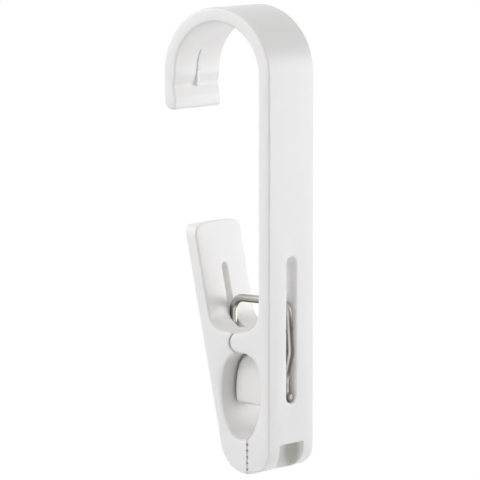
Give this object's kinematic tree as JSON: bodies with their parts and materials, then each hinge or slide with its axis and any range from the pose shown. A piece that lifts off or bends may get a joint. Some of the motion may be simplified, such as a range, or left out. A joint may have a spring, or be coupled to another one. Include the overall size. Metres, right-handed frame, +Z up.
{
  "type": "clip hook",
  "caption": "Hanging hook of bent strap with a sprung clip at its foot: a lever jaw turns on a round fulcrum against a wire spring, to hang cloth or a curtain from a rod.",
  "frame": {"origin": "centre of the rod that the hook hangs on, in the middle of the strap's width", "axes": "+Z up, from the clip to the hook; +Y along the rod, across the strap's width; +X from the lever's side to the strap's flat back"},
  "size_m": [0.0346, 0.019, 0.1185],
  "materials": {
    "body": "smooth white moulded plastic, satin gloss",
    "lever": "smooth white moulded plastic, satin gloss",
    "spring": "drawn round spring wire, bright"
  },
  "bodies": {
    "hook": {"hook_body": "body", "wire_spring": "spring"},
    "lever": {"clip_lever": "lever"}
  },
  "joints": [
    {"name": "lever_pivot", "type": "hinge", "parent": "hook", "child": "lever", "pos_m": [0.0068, 0, -0.068], "axis": [0, 1, 0], "range_deg": [0, 35], "stiffness_Nm_per_rad": 0.25, "springref_deg": -28.65, "deforming": ["wire_spring"]}
  ]
}
